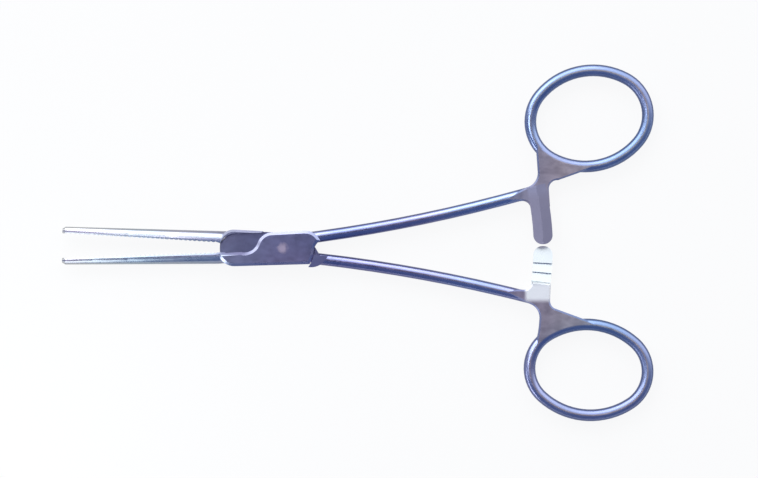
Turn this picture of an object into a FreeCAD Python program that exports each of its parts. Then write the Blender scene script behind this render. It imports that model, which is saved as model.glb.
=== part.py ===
import FreeCAD, Part
import math
import os

V = FreeCAD.Vector
TOLERANCE = 1e-6
ORIGIN = V(0, 0, 0)
UP = V(0, 0, 1)

# Frame: X runs from the jaws to the finger rings, Y spreads the rings, Z is the hinge axis.
# Both halves are drawn in the closed pose about the mid-plane z = 0 and the pivot axis,
# then turned apart by half of REST_OPEN_DEG each and lifted so that the box rests on z = 0.

# Opening at rest, and the lean that sets jaws and shanks off the box's line
REST_OPEN_DEG = 6.4
LEAN_DEG = 0.68

# Box lock: the slotted box, the shoulders beside it, the rim along the recess, the tenon, the slot
BOX_T = 5.0
BOX_HALF_W = 3.85
BOX_END_HALF_W = 3.6
BOX_FOOT_HALF_W = 4.1
BOX_LEFT = 15.2
BOX_CORNER_RUN = 3.6
BOX_CORNER_DROP = 0.4
BOX_BEVEL = 0.65
BOX_BEVEL_DROP = 0.5
CHEEK_ARC_R = 7.3
CHEEK_ARC_END_DEG = 8.0
CROTCH_REACH = 1.6
CROTCH_Y = 0.34 * BOX_HALF_W
CROWN_BACK = 2.1
S_TOP = (-2.9, BOX_HALF_W)
S_MIDDLE = (-5.9, 0.39 * BOX_HALF_W)
S_FOOT = (-9.9, -0.35)
S_TOP_HEADING_DEG = 188.0
SHOULDER_GAP = 0.15
SHOULDER_T = 4.4
SHOULDER_END = (10.6, -1.3)
SHOULDER_BULGE = (9.4, -3.1)
SHOULDER_TAPER = 3.3
SHOULDER_LAP_DEG = 1.0
RIM_SETBACK = 0.1
RIM_HALF_W = BOX_HALF_W - RIM_SETBACK
RIM_END = 4.9
RIM_BEVEL = 0.55
NOTCH_RUN = 3.6
NOTCH_DEEP = 0.76
NOTCH_HEADING_DEG = 8.0
TENON_T = 2.2
TENON_GAP_Z = 0.1
TENON_GAP = 0.13
TENON_SETBACK = 0.25
TENON_HALF_W = BOX_HALF_W - TENON_SETBACK
TENON_CORNER = (7.2, -0.8 * TENON_HALF_W)
TENON_END = (9.5, -2.2)
TENON_TOP_DEG = 2.0
TENON_CROWN_X = 12.0
SLOT_END_R = 15.0
SLOT_END_TOP = 0.2
SLOT_END_DROP = 1.9
SLOT_FOOT_X = 3.0
SLOT_MOUTH = (10.0, -0.6)
SLOT_HEAD = (7.6, 0.9)
SLOT_CROWN = (2.6, BOX_HALF_W + 0.1)
SLOT_ROOM = 0.3

# Pivot pin
PIN_R = 1.5
PIN_RUN_GAP = 0.05

# Jaws
JAW_TIP = 52.2
JAW_ROOT = 13.6
JAW_RELIEF = 0.35
JAW_TIP_R = 1.0
JAW_TIP_DEPTH = 1.6
NOSE = 0.7
NOSE_R = 0.5
JAW_ROOT_R = 2.05
JAW_ROOT_DEPTH = 3.1
TOOTH_PITCH = 1.1
TOOTH_DEPTH = 0.22
JAW_SEAM = 0.45
TOOTH_LAND = 0.22
TOOTH_COUNT = 33

# Shanks: an oval bar on one long arc, from the box to the ratchet arm
SHANK_START = (6.8, 2.05)
SHANK_HEADING_DEG = 3.6
SHANK_BEND_R = 362.0
SHANK_IN_BOX = 2.2
SHANK_IN_WEB = 7.5
SHANK_HALF_W = 1.38
SHANK_HALF_T = 1.37

# Ratchet arms, on an arc about the pivot
ARM_R_IN = 59.15
ARM_W = 4.5
ARM_R_OUT = ARM_R_IN + ARM_W
ARM_Z = 0.06
ARM_RIDGE = 0.3
ARM_TIP_DEG = -3.0
ARM_ROOT_DEG = 10.0
ARM_TIP_R = 0.47 * ARM_W
RATCHET_PITCH_DEG = 2.1
RATCHET_FIRST_DEG = 3.7
RATCHET_COUNT = 3
RATCHET_DEPTH = 0.6
RATCHET_LEAN = 1.0
RATCHET_LEAD = 0.9

# Finger rings: an oval wire on four arcs, set out from the ratchet arms
RING_REACH = 15.0
RING_SPREAD = 25.67
RING_LONG = 13.95
RING_HALF_W = 1.4
RING_HALF_T = 1.4
FEMALE_RING_SHORT = 11.25
FEMALE_RING_TILT_DEG = 7.0
MALE_RING_BACK = 0.85
MALE_RING_DROP = 0.15
MALE_RING_SHORT = 10.7
MALE_RING_TILT_DEG = 2.0

# Centre x and y, long and short half-axis and tilt of each ring
FEMALE_RING = (ARM_R_IN + RING_REACH, RING_SPREAD,
               RING_LONG, FEMALE_RING_SHORT, FEMALE_RING_TILT_DEG)
MALE_RING = (ARM_R_IN + RING_REACH - MALE_RING_BACK, RING_SPREAD - MALE_RING_DROP,
             RING_LONG, MALE_RING_SHORT, MALE_RING_TILT_DEG)

# Web between shank, arm and ring, a hair above the crown of the ring's wire.
# It meets the ring between two angles of the ring's arcs.
WEB_FROM_DEG = 198
WEB_TO_DEG = 281
WEB_PROUD = 0.02
WEB_T = 2 * (RING_HALF_T + WEB_PROUD)
WEB_BEVEL = 0.4
NECK_REACH = 2.05
NECK_ROUND_R = 3.5
ARMPIT_ROUND_R = 2.0
WEB_TONGUE = 7.5
WEB_FOOT = (8.3, 14.05)
WEB_ARM_Y = (5.6, 9.6)
ARM_T = WEB_T / 2 - ARM_Z + ARM_RIDGE


# Small drawing helpers
def line(a, b):
    return Part.makeLine(V(a[0], a[1], 0), V(b[0], b[1], 0))


def path(*points):
    return [line(a, b) for a, b in zip(points, points[1:])]


def arc(start, middle, end):
    return Part.Arc(*[V(p[0], p[1], 0) for p in (start, middle, end)]).toShape()


def polar(radius, degrees):
    angle = math.radians(degrees)
    return (radius * math.cos(angle), radius * math.sin(angle))


def pivot_arc(radius, start, end):
    return arc(*[polar(radius, d) for d in (start, (start + end) / 2, end)])


def heading_of(start, end):
    return math.degrees(math.atan2(end[1] - start[1], end[0] - start[0])) % 360


# Arc that leaves its start in a given heading, or a line where the end lies straight ahead
def bend(start, heading, end):
    run = (end[0] - start[0], end[1] - start[1])
    turn = math.atan2(run[1], run[0]) - math.radians(heading)
    turn = math.atan2(math.sin(turn), math.cos(turn))
    if abs(turn) < TOLERANCE:
        return line(start, end)
    rise = math.tan(turn / 2) / 2
    middle = ((start[0] + end[0]) / 2 + run[1] * rise, (start[1] + end[1]) / 2 - run[0] * rise)
    return arc(start, middle, end)


def spin(shape, degrees):
    shape.rotate(ORIGIN, UP, degrees)
    return shape


# Flat plate of a given thickness about the mid-plane
def plate(edges, thickness):
    face = Part.Face(Part.Wire(Part.__sortEdges__(edges)))
    face.translate(V(0, 0, -thickness / 2))
    return face.extrude(V(0, 0, thickness))


def rim_edges(solid):
    return [e for e in solid.Edges if e.BoundBox.ZLength < TOLERANCE]


# Oval face in the XZ plane, centred at a distance from the Z axis
def oval_face(distance, half_w, half_t):
    axes = sorted([V(half_w, 0, 0), V(0, 0, -half_t)], key=lambda axis: -axis.Length)
    oval = Part.Ellipse(axes[0], axes[1], ORIGIN).toShape()
    face = Part.Face(Part.Wire(oval))
    face.translate(V(distance, 0, 0))
    return face


# Conical jaw with a blunt nose, sliced flat on its gripping side and grooved across
def jaw():
    tip = V(-JAW_TIP + NOSE, JAW_TIP_R - JAW_TIP_DEPTH, 0)
    root = V(-JAW_ROOT, JAW_ROOT_R - JAW_ROOT_DEPTH, 0)
    cone = Part.makeCone(JAW_TIP_R, JAW_ROOT_R, (root - tip).Length, tip, root - tip)
    cone = cone.fuse(Part.makeCone(JAW_TIP_R, NOSE_R, NOSE, tip, tip - root))
    back = cone.common(jaw_side(JAW_SEAM, 2 * BOX_HALF_W))
    front = cone.common(jaw_side(0, JAW_SEAM)).cut(Part.makeCompound(jaw_grooves()))
    return back.fuse(front)


# Plate over the jaw between two depths below its gripping face
def jaw_side(near, far):
    beyond = -JAW_TIP - NOSE
    edges = path((beyond, -near), (-JAW_TIP, -near), (-JAW_ROOT, -JAW_RELIEF - near),
                 (-JAW_ROOT, -JAW_RELIEF - far), (beyond, -far), (beyond, -near))
    return plate(edges, BOX_T)


def jaw_grooves():
    grooves = []
    half = (TOOTH_PITCH - TOOTH_LAND) / 2
    for i in range(TOOTH_COUNT):
        x = -JAW_TIP + TOOTH_PITCH * (i + 1)
        face_y = -JAW_RELIEF * (JAW_TIP + x) / (JAW_TIP - JAW_ROOT)
        edges = path((x - half, face_y), (x, face_y - TOOTH_DEPTH), (x + half, face_y),
                     (x, face_y + TOOTH_DEPTH), (x - half, face_y))
        grooves.append(plate(edges, BOX_T))
    return grooves


# Turn of the shank's arc from its start to where it reaches a given x
def shank_turn(x):
    start = math.radians(SHANK_HEADING_DEG)
    return math.degrees(math.asin(math.sin(start) + (x - SHANK_START[0]) / SHANK_BEND_R) - start)


# Three lengths of one arc: in the box, free, and under the web and arm
def shank():
    seams = [shank_turn(x) for x in (SHANK_START[0], SHANK_START[0] + SHANK_IN_BOX,
                                     ARM_R_IN - SHANK_IN_WEB, ARM_R_IN - SHOULDER_GAP)]
    lengths = []
    for start, end in zip(seams, seams[1:]):
        section = oval_face(SHANK_BEND_R, SHANK_HALF_W, SHANK_HALF_T)
        lengths.append(spin(section, SHANK_HEADING_DEG - 90 + start).revolve(ORIGIN, UP, end - start))
    bar = lengths[0].fuse(lengths[1:])
    first = polar(SHANK_BEND_R, SHANK_HEADING_DEG - 90)
    bar.translate(V(SHANK_START[0] - first[0], SHANK_START[1] - first[1], 0))
    return bar


# Arcs of a ring's middle line, as centre, radius and two angles, with seams where the web ends
def oval_arcs(long_half, short_half):
    diagonal = math.hypot(long_half, short_half)
    end_r = diagonal * (diagonal - (long_half - short_half)) / (2 * long_half)
    side_r = diagonal * (diagonal + (long_half - short_half)) / (2 * short_half)
    end_off = long_half - end_r
    side_off = side_r - short_half
    join = math.degrees(math.atan2(side_off, end_off))
    return [
        (end_off, 0, end_r, -join, join),
        (0, -side_off, side_r, join, 180 - join),
        (-end_off, 0, end_r, 180 - join, WEB_FROM_DEG),
        (-end_off, 0, end_r, WEB_FROM_DEG, 180 + join),
        (0, side_off, side_r, 180 + join, WEB_TO_DEG),
        (0, side_off, side_r, WEB_TO_DEG, 360 - join),
    ]


def place_ring(shape, centre_x, centre_y, tilt):
    spin(shape, tilt)
    shape.translate(V(centre_x, centre_y, 0))
    return shape


def ring(centre_x, centre_y, long_half, short_half, tilt):
    sweeps = []
    for off_x, off_y, radius, start, end in oval_arcs(long_half, short_half):
        face = spin(oval_face(radius, RING_HALF_W, RING_HALF_T), start)
        sweep = face.revolve(ORIGIN, UP, end - start)
        sweep.translate(V(off_x, off_y, 0))
        sweeps.append(sweep)
    return place_ring(sweeps[0].fuse(sweeps[1:]), centre_x, centre_y, tilt)


# Point of a ring's middle line on one of its arcs
def oval_point(ring_sizes, which, degrees):
    centre_x, centre_y, long_half, short_half, tilt = ring_sizes
    off_x, off_y, radius = oval_arcs(long_half, short_half)[which][:3]
    x, y = polar(radius, degrees)
    point = V(off_x + x, off_y + y, 0)
    turned = FreeCAD.Rotation(UP, tilt).multVec(point)
    return (centre_x + turned.x, centre_y + turned.y)


# Plate that fills a ring up to the middle line of its wire
def ring_filling(centre_x, centre_y, long_half, short_half, tilt):
    edges = []
    for off_x, off_y, radius, start, end in oval_arcs(long_half, short_half):
        bow = pivot_arc(radius, start, end)
        bow.translate(V(off_x, off_y, 0))
        edges.append(bow)
    return place_ring(plate(edges, BOX_T), centre_x, centre_y, tilt)


# Point of the shank's middle line at a given x
def shank_middle(x):
    start = math.radians(SHANK_HEADING_DEG)
    turn = start + math.radians(shank_turn(x))
    return (x, SHANK_START[1] + SHANK_BEND_R * (math.cos(start) - math.cos(turn)))


# Round between the shank's edge and an upright edge at x: its start and its end on the shank
def shank_round(x, radius, side):
    turn = math.radians(SHANK_HEADING_DEG + shank_turn(x))
    edge_y = shank_middle(x)[1] + side * SHANK_HALF_W / math.cos(turn) - radius * math.tan(turn)
    centre_y = edge_y + side * radius / math.cos(turn)
    touch = (x - radius + side * radius * math.sin(turn), centre_y - side * radius * math.cos(turn))
    return (x, centre_y), touch


# Flat web that joins shank, ratchet arm and ring, and runs out on the crown of the ring's wire
def web(ring_sizes):
    ring_x, ring_y = ring_sizes[:2]
    neck, neck_end = shank_round(ARM_R_IN + NECK_REACH, NECK_ROUND_R, 1)
    armpit, armpit_end = shank_round(ARM_R_IN - SHOULDER_GAP, ARMPIT_ROUND_R, -1)
    low, high = [(ARM_R_OUT - SHOULDER_GAP, y) for y in WEB_ARM_Y]
    foot = (ring_x - WEB_FOOT[0], ring_y - WEB_FOOT[1])
    heel = oval_point(ring_sizes, 2, WEB_FROM_DEG)
    toe = oval_point(ring_sizes, 5, WEB_TO_DEG)
    tongue = shank_middle(ARM_R_IN - WEB_TONGUE)
    edges = [bend(neck, 90, heel), bend(neck, 270, neck_end)] + path(neck_end, tongue, armpit_end)
    edges.append(bend(armpit, 90, armpit_end))
    edges += path(armpit, low, high)
    edges.append(bend(high, 90, foot))
    edges += path(foot, toe, (toe[0], ring_y), (neck[0], ring_y), heel)
    solid = plate(edges, WEB_T)
    solid = solid.makeChamfer(WEB_BEVEL, rim_edges(solid))
    return solid.cut(ring_filling(*ring_sizes))


# Ratchet arm: a ridged bar that follows an arc about the pivot, on one side of the mid-plane
def arm():
    low = ARM_Z
    shoulder = ARM_Z + ARM_T - ARM_RIDGE
    top = ARM_Z + ARM_T
    ridge = (ARM_R_IN + ARM_R_OUT) / 2
    corners = [(ARM_R_IN, low), (ARM_R_OUT, low), (ARM_R_OUT, shoulder), (ridge, top),
               (ARM_R_IN, shoulder), (ARM_R_IN, low)]
    face = Part.Face(Part.makePolygon([V(x, 0, z) for x, z in corners]))
    bar = spin(face, ARM_TIP_DEG).revolve(ORIGIN, UP, ARM_ROOT_DEG - ARM_TIP_DEG)
    tip = [e for e in bar.Edges if abs(e.BoundBox.ZLength - shoulder + low) < TOLERANCE
           and e.BoundBox.YMax < 0]
    bar = bar.makeFillet(ARM_TIP_R, tip)
    return bar.cut(Part.makeCompound(ratchet_notches()))


# Sawtooth notches in the arm's inner face, after a long ramp from the tip
def ratchet_notches():
    lead = math.radians(RATCHET_FIRST_DEG) * ARM_R_OUT
    span = math.radians(RATCHET_PITCH_DEG) * ARM_R_OUT * RATCHET_LEAN
    cuts = [prism_across_arm([(0, ARM_Z), (-lead, ARM_Z + RATCHET_LEAD), (-lead, 0), (0, 0)], 0)]
    for i in range(RATCHET_COUNT):
        tooth = [(0, 0), (0, ARM_Z + RATCHET_DEPTH), (span, ARM_Z), (span, 0)]
        cuts.append(prism_across_arm(tooth, RATCHET_PITCH_DEG * i))
    return cuts


def prism_across_arm(corners, turn):
    inside = ARM_R_IN - ARM_W
    ends = corners + corners[:1]
    face = Part.Face(Part.makePolygon([V(inside, y, z) for y, z in ends]))
    prism = face.extrude(V(3 * ARM_W, 0, 0))
    return spin(prism, ARM_TIP_DEG + RATCHET_FIRST_DEG + turn)


# Jaw, shank, ring, web and arm of one half; the lean turns both ends off the box's line
def limbs(lean, ring_sizes):
    gripping = spin(jaw(), -lean)
    handle = spin(shank().fuse([ring(*ring_sizes), web(ring_sizes), arm()]), lean)
    return [gripping, handle]


# Outline of the slotted box with its two S-shaped ends
def cheek_block():
    corner = (-BOX_LEFT, -BOX_CORNER_DROP)
    base = (-BOX_LEFT + BOX_CORNER_RUN, -BOX_END_HALF_W)
    foot = polar(CHEEK_ARC_R, -math.degrees(math.asin(BOX_FOOT_HALF_W / CHEEK_ARC_R)))
    base_heading = math.degrees(math.atan2(foot[1] - base[1], foot[0] - base[0]))
    heel = polar(CHEEK_ARC_R, -CHEEK_ARC_END_DEG)
    crotch = (CHEEK_ARC_R + CROTCH_REACH, CROTCH_Y)
    crown = (CHEEK_ARC_R - CROWN_BACK, BOX_HALF_W)
    middle_heading = 2 * heading_of(S_TOP, S_MIDDLE) - S_TOP_HEADING_DEG
    edges = [
        bend(base, base_heading + 180, corner),
        line(base, foot),
        pivot_arc(CHEEK_ARC_R, math.degrees(math.atan2(foot[1], foot[0])), -CHEEK_ARC_END_DEG),
        bend(heel, 90 - CHEEK_ARC_END_DEG, crotch),
        bend(crown, 0, crotch),
        line(crown, S_TOP),
        bend(S_TOP, S_TOP_HEADING_DEG, S_MIDDLE),
        bend(S_MIDDLE, middle_heading, S_FOOT),
        line(S_FOOT, corner),
    ]
    block = plate(edges, BOX_T)
    return block.makeChamfer(BOX_BEVEL_DROP, BOX_BEVEL, rim_edges(block))


# Space between the cheeks in which the tenon turns
def slot():
    top_deg = 180 + math.degrees(math.asin(SLOT_END_TOP / SLOT_END_R))
    low_deg = 180 + math.degrees(math.asin(SLOT_END_DROP / SLOT_END_R))
    top = polar(SLOT_END_R, top_deg)
    low = polar(SLOT_END_R, low_deg)
    beyond = 2 * BOX_HALF_W
    edges = [pivot_arc(SLOT_END_R, top_deg, low_deg)]
    edges += path(low, (-SLOT_FOOT_X, -BOX_HALF_W), (-SLOT_FOOT_X, -beyond),
                  (SLOT_MOUTH[0], -beyond), SLOT_MOUTH, SLOT_HEAD, SLOT_CROWN,
                  (SLOT_CROWN[0], beyond), (top[0], beyond), top)
    return plate(edges, TENON_T + 2 * TENON_GAP_Z)


def pivot_pin():
    return Part.makeCylinder(PIN_R, BOX_T, V(0, 0, -BOX_T / 2), UP)


def female_half():
    body = cheek_block().fuse(limbs(LEAN_DEG, FEMALE_RING))
    body = body.cut(slot())
    return body.cut(pivot_pin())


# Thin middle of the other half, with a heel at the jaw end that closes the crotch
def tenon():
    reach = SLOT_END_R - TENON_GAP
    drop = SLOT_END_DROP - TENON_GAP
    low_deg = 180 + math.degrees(math.asin(drop / reach))
    high_deg = 180 - TENON_TOP_DEG
    foot = (-SLOT_FOOT_X - SLOT_ROOM, -TENON_HALF_W)
    head = (SLOT_HEAD[0] - TENON_GAP, SLOT_HEAD[1] - TENON_GAP)
    edges = [pivot_arc(reach, high_deg, low_deg)]
    edges += path(polar(reach, low_deg), foot, TENON_CORNER, TENON_END, head,
                  (SLOT_CROWN[0] + SLOT_ROOM, TENON_HALF_W), (-TENON_CROWN_X, TENON_HALF_W),
                  polar(reach, high_deg))
    return plate(edges, TENON_T)


# Full-thickness shoulder at the jaw end, bevelled along its outer side
def jaw_shoulder():
    left = -BOX_LEFT
    foot = (left, BOX_CORNER_DROP)
    top = (left + BOX_CORNER_RUN, RIM_HALF_W)
    edges = [bend(top, 180, foot)]
    edges += path(foot, (-RIM_END, BOX_CORNER_DROP), (-RIM_END, RIM_HALF_W), top)
    block = plate(edges, SHOULDER_T)
    outer = [e for e in rim_edges(block) if e.BoundBox.YMax > RIM_HALF_W - TOLERANCE]
    return block.makeChamfer(RIM_BEVEL, outer)


# Room beside the tenon, with a round end that hollows jaw and shoulder towards the box
def tenon_recess():
    notch = (-BOX_LEFT + BOX_CORNER_DROP, BOX_CORNER_DROP)
    notch_end = (-BOX_LEFT + NOTCH_RUN, NOTCH_DEEP * RIM_HALF_W)
    rim = (0, RIM_HALF_W)
    edges = [bend(notch_end, NOTCH_HEADING_DEG + 180, notch)]
    edges += path(notch, (notch[0], -BOX_CORNER_DROP), (0, -BOX_CORNER_DROP), rim, notch_end)
    return plate(edges, BOX_T)


# Shoulder at the shank end: round about the pivot, and sloping down to the shank
def shank_shoulder():
    radius = CHEEK_ARC_R + SHOULDER_GAP
    start = -math.degrees(math.asin(BOX_FOOT_HALF_W / radius))
    end = -CHEEK_ARC_END_DEG - SHOULDER_LAP_DEG
    low = polar(radius, start)
    edges = [
        pivot_arc(radius, start, end),
        line(polar(radius, end), SHOULDER_END),
        arc(SHOULDER_END, SHOULDER_BULGE, low),
    ]
    reach = radius + SHOULDER_TAPER
    corners = [(0, SHOULDER_T / 2), (radius, SHOULDER_T / 2), (reach, SHANK_HALF_T),
               (reach, -SHANK_HALF_T), (radius, -SHOULDER_T / 2), (0, -SHOULDER_T / 2),
               (0, SHOULDER_T / 2)]
    profile = Part.Face(Part.makePolygon([V(x, 0, z) for x, z in corners]))
    return plate(edges, SHOULDER_T).common(profile.revolve(ORIGIN, UP, 360))


def male_half():
    arms = limbs(-LEAN_DEG, MALE_RING)
    for limb in arms:
        limb.rotate(ORIGIN, V(1, 0, 0), 180)
    cheek_room = Part.makeCylinder(CHEEK_ARC_R + SHOULDER_GAP, BOX_T, V(0, 0, -BOX_T / 2), UP)
    jaw_end = arms[0].fuse(jaw_shoulder()).cut(tenon_recess())
    body = tenon().fuse([jaw_end, arms[1].cut(cheek_room), shank_shoulder()])
    hole = Part.makeCylinder(PIN_R + PIN_RUN_GAP, BOX_T, V(0, 0, -BOX_T / 2), UP)
    return body.cut(hole)


# Turn a piece to the rest pose and lift it onto z = 0
def place(shape, turn):
    solid = shape.Solids[0]
    spin(solid, turn)
    solid.translate(V(0, 0, BOX_T / 2))
    return solid


os.makedirs("parts", exist_ok=True)
place(female_half(), REST_OPEN_DEG / 2).exportStep("parts/female_half.step")
place(male_half(), -REST_OPEN_DEG / 2).exportStep("parts/male_half.step")
place(pivot_pin(), 0).exportStep("parts/pivot_pin.step")
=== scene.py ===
import bpy
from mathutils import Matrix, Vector

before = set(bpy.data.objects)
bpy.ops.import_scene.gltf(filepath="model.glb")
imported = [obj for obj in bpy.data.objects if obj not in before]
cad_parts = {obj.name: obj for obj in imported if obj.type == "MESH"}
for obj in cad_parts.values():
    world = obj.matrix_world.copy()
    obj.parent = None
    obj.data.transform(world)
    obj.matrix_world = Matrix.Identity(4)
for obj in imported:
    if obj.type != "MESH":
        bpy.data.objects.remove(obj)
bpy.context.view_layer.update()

# The photograph's frame, in pixels, and the lens it is seen through
PHOTO_WIDTH = 758
PHOTO_HEIGHT = 478
MM_PER_PIXEL = 0.236
PIVOT_PIXEL = (283.0, 248.2)
LENS_MM = 200.0
SENSOR_MM = 36.0
CLIP_NEAR = 0.01
CLIP_FAR = 50.0
MM = 0.001
FRONT_Z = 2.5

# Floor
FLOOR_HALF = 6.0
FLOOR_DROP = 0.00005
FLOOR_COLOUR = (0.93, 0.935, 0.95, 1)
FLOOR_WHITE = (1, 1, 1, 1)
FLOOR_WHITE_SHARE = 0.9

# Sky: PALE_SIDE is the direction, seen from above, that its pale side lies in
PALE_SIDE = (0.10, 0.99)
SKY_SHADE = (0.10, 0.14, 0.27, 1)
SKY_TOP = (0.22, 0.21, 0.28, 1)
SKY_LIGHT = (1.2, 1.26, 1.34, 1)
SKY_STOPS = [(0.0, SKY_SHADE), (0.42, SKY_SHADE), (0.49, SKY_TOP), (0.57, SKY_TOP),
             (0.71, SKY_LIGHT), (1.0, SKY_LIGHT)]
SKY_RIM = (0.92, 0.94, 1.0, 1)
SKY_RIM_HEIGHT = 0.07

# Lamps: name, place, target, size, power and colour
PALE_LAMP = (0.97, 1.0, 1.0)
LAMPS = [
    ("far_softbox", (-0.30, 0.60, 0.50), (0.02, 0, 0), (1.1, 0.45), 2.6, PALE_LAMP),
    ("tip_softbox", (-0.070, -0.055, 0.052), (-0.052, -0.002, 0), (0.06, 0.06), 0.014,
     (0.95, 1.0, 1.0)),
    ("low_softbox", (-0.62, -0.50, 0.20), (-0.01, 0, 0), (0.35, 0.20), 0.5, PALE_LAMP),
    ("jaw_softbox", (-0.11, 0.03, 0.30), (-0.06, 0, 0), (0.11, 0.10), 0.14, PALE_LAMP),
]

# Steel: polished on the rounds, satin on the level faces, with painted shade darkening the
# steep flanks.
# Tints follow the length of the instrument: place in metres and colour.
ROUND_TINTS = [(-0.052, (0.80, 0.88, 0.88)), (-0.018, (0.62, 0.66, 0.76)),
               (-0.010, (0.60, 0.56, 0.74)), (0.006, (0.58, 0.55, 0.74)),
               (0.012, (0.34, 0.36, 0.62)), (0.030, (0.39, 0.45, 0.72)),
               (0.055, (0.46, 0.53, 0.80)), (0.066, (0.35, 0.44, 0.68)),
               (0.088, (0.34, 0.43, 0.68))]
LEVEL_TINTS = [(-0.016, (0.21, 0.20, 0.30)), (-0.002, (0.19, 0.18, 0.31)),
               (0.02, (0.165, 0.155, 0.29)), (0.056, (0.42, 0.40, 0.50)),
               (0.066, (0.57, 0.55, 0.58)), (0.072, (0.60, 0.57, 0.60))]
# Painted shade on the steep flanks, darkening their reflection: place in metres and colour
FLANK_PAINTED_SHADE = [(-0.052, (0.50, 0.52, 0.52)), (-0.016, (0.42, 0.42, 0.46)),
               (0.010, (0.26, 0.27, 0.36)), (0.055, (0.24, 0.26, 0.36)),
               (0.066, (0.26, 0.29, 0.38)), (0.088, (0.26, 0.29, 0.38))]
LENGTH_FROM = -0.055
LENGTH_TO = 0.09
ROUND_GAIN = (0.85, 1.15)
LEVEL_GAIN = (0.75, 1.25)

# How upright the normal of a level face is, and of the steep flanks that take painted shade
LEVEL_FROM = 0.985
LEVEL_TO = 0.999
FLANK_FROM = 0.60
FLANK_TO = 0.80

# Noises: scale, detail and stretch along the axes
CLOUDS = (160.0, 2.0, (1, 1, 1))
PATCHES = (420.0, 4.0, (1, 1.6, 1))
GRAIN = (5200.0, 2.0, (0.25, 1, 1))
DRIFT = (48.0, 1.0, (1, 1, 1))
RAGGED = (900.0, 3.0, (1, 1, 1))
DRIFT_FROM = 0.35
DRIFT_TO = 0.65
DRIFT_BLUE = (0.92, 1.0, 1.04, 1)
DRIFT_MAUVE = (1.09, 0.98, 1.0, 1)

# Roughness: of the rounds, what the rings add, of the level faces, and what patches add
ROUND_ROUGHNESS = 0.22
ROUND_PATCHES = 0.12
RING_FROM = 0.060
RING_TO = 0.067
RING_ROUGHER = 0.12
LEVEL_ROUGHNESS = 0.27
LEVEL_PATCHES = 0.2

# Bumps: strength and depth in metres
WAVE = (0.14, 0.0004)
SCRATCH = (0.07, 0.00003)

# The smudge on the pin's head: its ragged edge, reach from the axis and tint
PIN_RAGGED = -0.0016
PIN_FROM = 0.0008
PIN_TO = -0.0004
PIN_TINT = (0.50, 0.42, 0.55, 1)

# Marks: a box of object space as low, high and soft edge on each axis in metres,
# a tint, how it blends, and the roughness where it has its own
HARD_EDGE = 0.00002
# Painted shade: the recess floor by the tenon is darkened where shade falls in it
RECESS_PAINTED_SHADE = (((-0.0152, -0.0022, 0.0), (-0.006, 0.006, 0.0), (0.00345, 0.00375, 0.0)),
          (0.80, 0.80, 0.84, 1), "MULTIPLY", None)
# Painted highlight: the male arm's toothed faces are made near white, standing in for the
# lamp's reflection
TOOTH_FACE_PAINTED_HIGHLIGHT = (((0.0570, 0.0665, 0.0008), (-0.0126, 0.004, 0.0030), (0.0, 0.0050, 0.0)),
              (0.84, 0.88, 0.89, 1), "MIX", None)
# Painted highlight: the root of the teeth is made pure white and rough
TOOTH_ROOT_PAINTED_HIGHLIGHT = (((0.0566, 0.0665, 0.0012), (-0.0132, -0.0076, 0.0016), (0.0, 0.0050, 0.0)),
              (1.0, 1.0, 1.0, 1), "MIX", 0.7)
ARM = (((0.0560, 0.0680, 0.0015), (-0.006, 0.0180, 0.0070), (0.0, 0.0048, 0.0)),
       (0.37, 0.35, 0.46, 1), "MIX", 0.58)
# Painted shade: dims the bevel's highlight towards the left foot of the S-shaped edge
S_FOOT_PAINTED_SHADE = (((-0.0170, -0.0066, 0.0030), (-0.0016, 0.0002, 0.0), (0.0040, 0.0052, 0.0)),
          (0.36, 0.34, 0.42, 1), "MULTIPLY", None)


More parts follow.
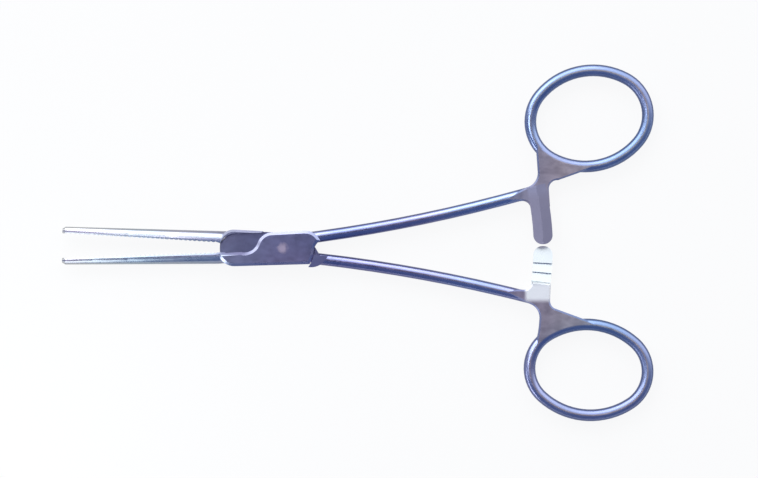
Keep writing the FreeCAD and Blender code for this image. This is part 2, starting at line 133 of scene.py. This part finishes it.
# The node tree of a material or world; a value is a number, a colour or a node's output
class Tree:
    def __init__(self, owner):
        owner.use_nodes = True
        self.nodes = owner.node_tree.nodes
        self.links = owner.node_tree.links
        self.nodes.clear()

    def add(self, kind, **settings):
        node = self.nodes.new("ShaderNode" + kind)
        for name, value in settings.items():
            setattr(node, name, value)
        return node

    def feed(self, node, values):
        for socket, value in values.items():
            if hasattr(value, "is_output"):
                self.links.new(value, node.inputs[socket])
            else:
                node.inputs[socket].default_value = value

    def axes(self, vector):
        node = self.add("SeparateXYZ")
        self.feed(node, {0: vector})
        return node.outputs

    def ramp(self, value, stops):
        node = self.add("ValToRGB")
        elements = node.color_ramp.elements
        while len(elements) < len(stops):
            elements.new(0.5)
        for element, (place, colour) in zip(elements, stops):
            element.position = place
            element.color = colour
        self.feed(node, {0: value})
        return node.outputs[0]

    def math(self, operation, *values, clamp=False):
        node = self.add("Math", operation=operation, use_clamp=clamp)
        self.feed(node, dict(enumerate(values)))
        return node.outputs[0]

    def mix_value(self, factor, first, second):
        node = self.add("Mix")
        self.feed(node, {0: factor, 2: first, 3: second})
        return node.outputs[0]

    def mix_colour(self, factor, first, second, blend="MIX"):
        node = self.add("Mix", data_type="RGBA", blend_type=blend)
        self.feed(node, {0: factor, 6: first, 7: second})
        return node.outputs[2]

    def map_range(self, value, low, high, smooth=False):
        node = self.add("MapRange", interpolation_type="SMOOTHSTEP" if smooth else "LINEAR")
        self.feed(node, {"Value": value, "From Min": low, "From Max": high})
        return node.outputs[0]

    def noise(self, vector, scale, detail, stretch):
        mapping = self.add("Mapping")
        self.feed(mapping, {"Vector": vector, "Scale": stretch})
        node = self.add("TexNoise")
        self.feed(node, {"Vector": mapping.outputs[0], "Scale": scale, "Detail": detail})
        return node.outputs["Fac"]

    def bump(self, height, strength, depth):
        node = self.add("Bump")
        self.feed(node, {"Height": height, "Strength": strength, "Distance": depth})
        return node

    def tint_along(self, length, tints, gain=1.0):
        span = LENGTH_TO - LENGTH_FROM
        stops = [((place - LENGTH_FROM) / span, [c * gain for c in colour] + [1])
                 for place, colour in tints]
        return self.ramp(length, stops)

    # 1 inside a box of object space, 0 outside it, and between them across its soft edges
    def inside_box(self, axes, box):
        share = None
        for axis, (low, high, soft) in zip("XYZ", box):
            off = self.math("ABSOLUTE", self.math("SUBTRACT", axes[axis], (low + high) / 2))
            edge = (high - low) / 2
            inner = self.map_range(off, edge, edge - max(soft, HARD_EDGE), True)
            share = inner if share is None else self.math("MULTIPLY", share, inner)
        return share


# A studio sky: pale on the far side, mauve overhead, dark blue on the near side
def studio_sky():
    world = bpy.data.worlds.new("studio")
    bpy.context.scene.world = world
    tree = Tree(world)
    axes = tree.axes(tree.add("TexCoord").outputs["Generated"])
    side = tree.math("MULTIPLY_ADD", axes["X"], PALE_SIDE[0] / 2, 0.5)
    side = tree.math("MULTIPLY_ADD", axes["Y"], PALE_SIDE[1] / 2, side)
    height = tree.math("DIVIDE", axes["Z"], SKY_RIM_HEIGHT, clamp=True)
    colour = tree.mix_colour(height, SKY_RIM, tree.ramp(side, SKY_STOPS))
    background = tree.add("Background")
    tree.feed(background, {"Color": colour})
    tree.feed(tree.add("OutputWorld"), {0: background.outputs[0]})


def soft_lamp(name, place, target, size, power, colour):
    data = bpy.data.lights.new(name, "AREA")
    data.shape = "RECTANGLE"
    data.size, data.size_y = size
    data.energy = power
    data.color = colour
    lamp = bpy.data.objects.new(name, data)
    bpy.context.scene.collection.objects.link(lamp)
    lamp.location = place
    aim = Vector(target) - Vector(place)
    lamp.rotation_euler = aim.to_track_quat("-Z", "Y").to_euler()
    lamp.visible_camera = False


# White to the camera and to reflections, and still holding the object's shadow
def floor_material():
    material = bpy.data.materials.new("white_floor")
    tree = Tree(material)
    diffuse = tree.add("BsdfDiffuse")
    tree.feed(diffuse, {"Color": FLOOR_COLOUR})
    white = tree.add("Emission")
    tree.feed(white, {"Color": FLOOR_WHITE})
    path = tree.add("LightPath").outputs
    seen = tree.math("MAXIMUM", path["Is Camera Ray"], path["Is Glossy Ray"])
    seen = tree.math("MAXIMUM", seen, path["Is Transmission Ray"])
    share = tree.math("MULTIPLY", seen, FLOOR_WHITE_SHARE)
    mix = tree.add("MixShader")
    tree.feed(mix, {0: share, 1: diffuse.outputs[0], 2: white.outputs[0]})
    tree.feed(tree.add("OutputMaterial"), {0: mix.outputs[0]})
    return material


def floor():
    mesh = bpy.data.meshes.new("floor")
    signs = [(-1, -1), (1, -1), (1, 1), (-1, 1)]
    corners = [(x * FLOOR_HALF, y * FLOOR_HALF, -FLOOR_DROP) for x, y in signs]
    mesh.from_pydata(corners, [], [(0, 1, 2, 3)])
    mesh.materials.append(floor_material())
    sheet = bpy.data.objects.new("floor", mesh)
    bpy.context.scene.collection.objects.link(sheet)


# A blot of PIN_TINT with a ragged edge around the pin's axis
def pin_smudge(tree, tint, point, axes):
    flat = tree.add("CombineXYZ")
    tree.feed(flat, {"X": axes["X"], "Y": axes["Y"]})
    reach = tree.add("VectorMath", operation="LENGTH")
    tree.feed(reach, {0: flat.outputs[0]})
    ragged = tree.math("MULTIPLY_ADD", tree.noise(point, *RAGGED), PIN_RAGGED,
                       reach.outputs["Value"])
    blot = tree.map_range(ragged, PIN_FROM, PIN_TO, True)
    return tree.mix_colour(blot, tint, PIN_TINT)


def steel(name, marks=(), smudged=False):
    material = bpy.data.materials.new(name)
    tree = Tree(material)
    place = tree.add("TexCoord").outputs
    point = place["Object"]
    axes = tree.axes(point)
    upright = tree.math("ABSOLUTE", tree.axes(place["Normal"])["Z"])
    level = tree.map_range(upright, LEVEL_FROM, LEVEL_TO)
    flank_painted_shade = tree.map_range(upright, FLANK_FROM, FLANK_TO, True)
    length = tree.map_range(axes["X"], LENGTH_FROM, LENGTH_TO)
    clouds = tree.noise(point, *CLOUDS)
    patches = tree.noise(point, *PATCHES)

    round_tint = tree.mix_colour(clouds, *[tree.tint_along(length, ROUND_TINTS, gain)
                                           for gain in ROUND_GAIN])
    level_tint = tree.mix_colour(patches, *[tree.tint_along(length, LEVEL_TINTS, gain)
                                            for gain in LEVEL_GAIN])
    tint = tree.mix_colour(level, round_tint, level_tint)
    drift = tree.map_range(tree.noise(point, *DRIFT), DRIFT_FROM, DRIFT_TO, True)
    hue = tree.mix_colour(drift, DRIFT_BLUE, DRIFT_MAUVE)
    tint = tree.mix_colour(1.0, tint, hue, "MULTIPLY")
    # Painted shade: the steep flanks are darkened along the length
    shade = tree.mix_colour(flank_painted_shade, tree.tint_along(length, FLANK_PAINTED_SHADE), (1, 1, 1, 1))
    tint = tree.mix_colour(1.0, tint, shade, "MULTIPLY")

    ringed = tree.map_range(axes["X"], RING_FROM, RING_TO, True)
    ringed = tree.math("MULTIPLY_ADD", ringed, RING_ROUGHER, ROUND_ROUGHNESS)
    rough_round = tree.math("MULTIPLY_ADD", patches, ROUND_PATCHES, ringed)
    rough_level = tree.math("MULTIPLY_ADD", patches, LEVEL_PATCHES, LEVEL_ROUGHNESS)
    roughness = tree.mix_value(level, rough_round, rough_level)

    for box, colour, blend, rough in marks:
        within = tree.inside_box(axes, box)
        tint = tree.mix_colour(within, tint, colour, blend)
        if rough is not None:
            roughness = tree.mix_value(within, roughness, rough)
    if smudged:
        tint = pin_smudge(tree, tint, point, axes)

    wave = tree.bump(clouds, *WAVE)
    scratch = tree.bump(tree.noise(point, *GRAIN), *SCRATCH)
    tree.feed(scratch, {"Normal": wave.outputs[0]})
    shader = tree.add("BsdfPrincipled")
    tree.feed(shader, {"Metallic": 1.0, "Base Color": tint, "Roughness": roughness,
                       "Normal": scratch.outputs[0]})
    tree.feed(tree.add("OutputMaterial"), {0: shader.outputs[0]})
    return material


def dress(node, material):
    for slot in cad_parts[node].material_slots:
        slot.material = material


# Looks straight down, from as far as makes the photograph's width fill the frame
def photo_camera():
    centre_x = (PHOTO_WIDTH / 2 - PIVOT_PIXEL[0]) * MM_PER_PIXEL * MM
    centre_y = (PIVOT_PIXEL[1] - PHOTO_HEIGHT / 2) * MM_PER_PIXEL * MM
    frame_width = PHOTO_WIDTH * MM_PER_PIXEL * MM
    distance = frame_width * LENS_MM / SENSOR_MM
    data = bpy.data.cameras.new("camera")
    data.lens = LENS_MM
    data.sensor_width = SENSOR_MM
    data.clip_start = CLIP_NEAR
    data.clip_end = CLIP_FAR
    camera = bpy.data.objects.new("camera", data)
    bpy.context.scene.collection.objects.link(camera)
    camera.location = (centre_x, centre_y, FRONT_Z * MM + distance)
    bpy.context.scene.camera = camera


studio_sky()
floor()
for lamp in LAMPS:
    soft_lamp(*lamp)
dress("female_half", steel("female_half_steel", [ARM, S_FOOT_PAINTED_SHADE]))
dress("male_half", steel("male_half_steel", [RECESS_PAINTED_SHADE, TOOTH_FACE_PAINTED_HIGHLIGHT, TOOTH_ROOT_PAINTED_HIGHLIGHT]))
dress("pivot_pin", steel("pin_steel_finish", smudged=True))
photo_camera()
bpy.context.scene.view_settings.view_transform = "Standard"
